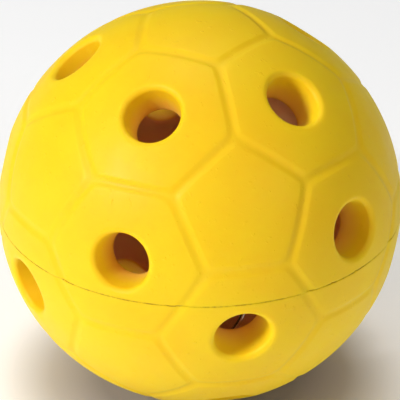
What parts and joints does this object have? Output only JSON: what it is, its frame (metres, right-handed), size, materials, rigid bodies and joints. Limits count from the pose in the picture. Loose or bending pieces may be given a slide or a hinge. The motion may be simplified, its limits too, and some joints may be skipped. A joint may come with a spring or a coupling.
{
  "type": "bell ball",
  "caption": "Hollow thick-walled rubber ball with recessed football panels, a round hole through each six-sided panel and a loose ringing bell inside, so that it can be followed by ear.",
  "frame": {"origin": "the ball's centre", "axes": "+Z is the axis of five-fold symmetry, square to the parting line, through the middle of a five-sided panel; -Y is the front, below the middle of the five-sided panel that faces the viewer"},
  "size_m": [0.1596, 0.1598, 0.16],
  "materials": {
    "yellow_rubber": "satin moulded rubber, fine skin grain",
    "plated_steel": "nickel-plated pressed steel, lightly scuffed",
    "bell_wire": "nickel-plated steel wire",
    "pellet_steel": "bare steel ball, dulled by knocking"
  },
  "bodies": {
    "ball": {"upper_shell": "yellow_rubber", "lower_shell": "yellow_rubber"},
    "bell": {"bell_dome": "plated_steel", "bell_cup": "plated_steel", "bell_loop": "bell_wire"},
    "pellet": {"bell_pellet": "pellet_steel"}
  },
  "joints": [
    {"name": "bell_roll", "type": "hinge", "parent": "ball", "child": "bell", "pos_m": [0, 0, 0], "axis": [1, 0, 0], "continuous": true},
    {"name": "pellet_roll", "type": "hinge", "parent": "bell", "child": "pellet", "pos_m": [0, 0, -0.045], "axis": [0, 1, 0], "continuous": true}
  ]
}
